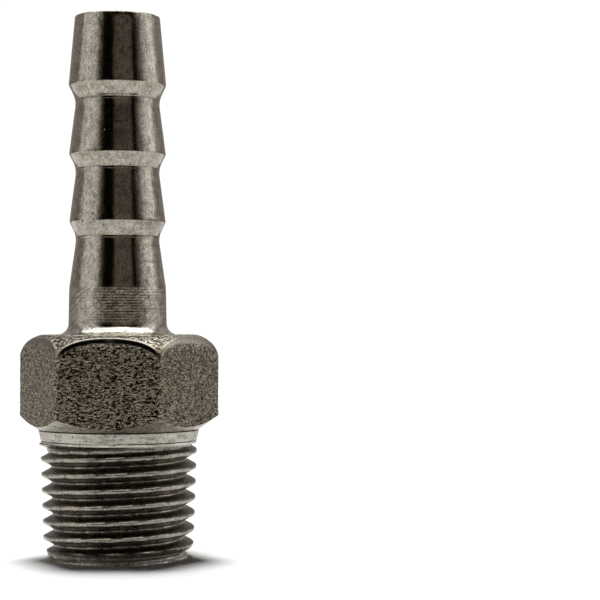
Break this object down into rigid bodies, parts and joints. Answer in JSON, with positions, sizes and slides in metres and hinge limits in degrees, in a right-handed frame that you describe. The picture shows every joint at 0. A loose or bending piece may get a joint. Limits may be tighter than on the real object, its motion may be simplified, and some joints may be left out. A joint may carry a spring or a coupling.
{
  "type": "hose tail",
  "caption": "Barbed hose tail for 8 mm hose with a spanner hexagon, a male taper pipe thread and a straight through bore.",
  "frame": {"origin": "centre of the end face at the threaded end, on the fitting's axis", "axes": "+Z along the axis from the threaded end to the hose end; one flat of the hexagon faces -Y"},
  "size_m": [0.0172, 0.015, 0.0466],
  "materials": {
    "stainless": "machined bright on the tail, thread and collar, blasted as-cast grain on the hexagon"
  },
  "bodies": {
    "root": {"hose_tail": "stainless"}
  },
  "joints": []
}
